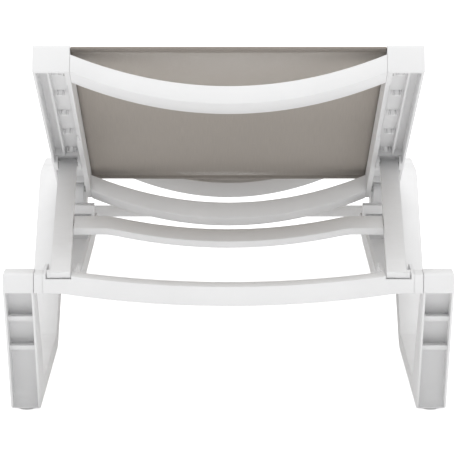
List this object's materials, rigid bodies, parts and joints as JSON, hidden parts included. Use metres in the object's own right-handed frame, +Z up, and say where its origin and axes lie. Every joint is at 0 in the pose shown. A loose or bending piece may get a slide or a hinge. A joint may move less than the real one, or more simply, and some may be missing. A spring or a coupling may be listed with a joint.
{
  "type": "reclining sun lounger",
  "caption": "Low moulded sun lounger with a taut mesh seat and a hinged, propped mesh backrest on broad sled legs joined by arched crossbars.",
  "frame": {"origin": "on the floor under the middle of the lounger, seen from above, with the backrest at its rest angle", "axes": "+Y along the lounger towards the foot end, +Z up, +X to the left of a person lying on it"},
  "size_m": [0.72, 1.9783, 0.6236],
  "materials": {
    "white_resin": "satin moulded, fine grain",
    "glide_resin": "matt",
    "spline_resin": "matt",
    "taupe_mesh": "coated yarn, open plain weave",
    "steel": "stainless"
  },
  "bodies": {
    "base": {"base_rail_left": "white_resin", "base_rail_right": "white_resin", "block_screw_left": "steel", "block_screw_right": "steel", "foot_glide_front_left": "glide_resin", "foot_glide_front_right": "glide_resin", "foot_glide_rear_left": "glide_resin", "foot_glide_rear_right": "glide_resin", "foot_leg_left": "white_resin", "foot_leg_right": "white_resin", "foot_stretcher": "white_resin", "head_crossbar": "white_resin", "head_glide_front_left": "glide_resin", "head_glide_front_right": "glide_resin", "head_glide_rear_left": "glide_resin", "head_glide_rear_right": "glide_resin", "head_leg_left": "white_resin", "head_leg_right": "white_resin", "hinge_pin_left": "steel", "hinge_pin_right": "steel", "leg_screw_foot_left": "steel", "leg_screw_foot_right": "steel", "leg_screw_head_left": "steel", "leg_screw_head_right": "steel", "leg_screw_middle_left": "steel", "leg_screw_middle_right": "steel", "seat_crossbar_foot": "white_resin", "seat_crossbar_middle": "white_resin", "seat_screw_foot_left": "steel", "seat_screw_foot_right": "steel", "seat_screw_middle_left": "steel", "seat_screw_middle_right": "steel", "seat_sling": "taupe_mesh", "seat_spline_left": "spline_resin", "seat_spline_right": "spline_resin"},
    "backrest": {"back_crossbar_bottom": "white_resin", "back_crossbar_top": "white_resin", "back_rail_left": "white_resin", "back_rail_right": "white_resin", "back_screw_bottom_left": "steel", "back_screw_bottom_right": "steel", "back_screw_top_left": "steel", "back_screw_top_right": "steel", "back_sling": "taupe_mesh", "back_spline_left": "spline_resin", "back_spline_right": "spline_resin", "prop_bracket_left": "white_resin", "prop_bracket_right": "white_resin", "prop_pin_left": "steel", "prop_pin_right": "steel"},
    "prop": {"prop_arm_left": "white_resin", "prop_arm_right": "white_resin", "prop_crossbar": "white_resin", "prop_screw_left": "steel", "prop_screw_right": "steel"}
  },
  "joints": [
    {"name": "backrest_hinge", "type": "hinge", "parent": "base", "child": "backrest", "pos_m": [0, -0.21045, 0.287], "axis": [-1, 0, 0], "range_deg": [-22.1, 42.9]},
    {"name": "prop_pivot", "type": "hinge", "parent": "backrest", "child": "prop", "pos_m": [0, -0.42011, 0.36134], "axis": [1, 0, 0], "range_deg": [-31.9, 61.9]}
  ],
  "couplings": [
    {"joint": "prop_pivot", "follows": "backrest_hinge", "ratio": 1.4418}
  ]
}
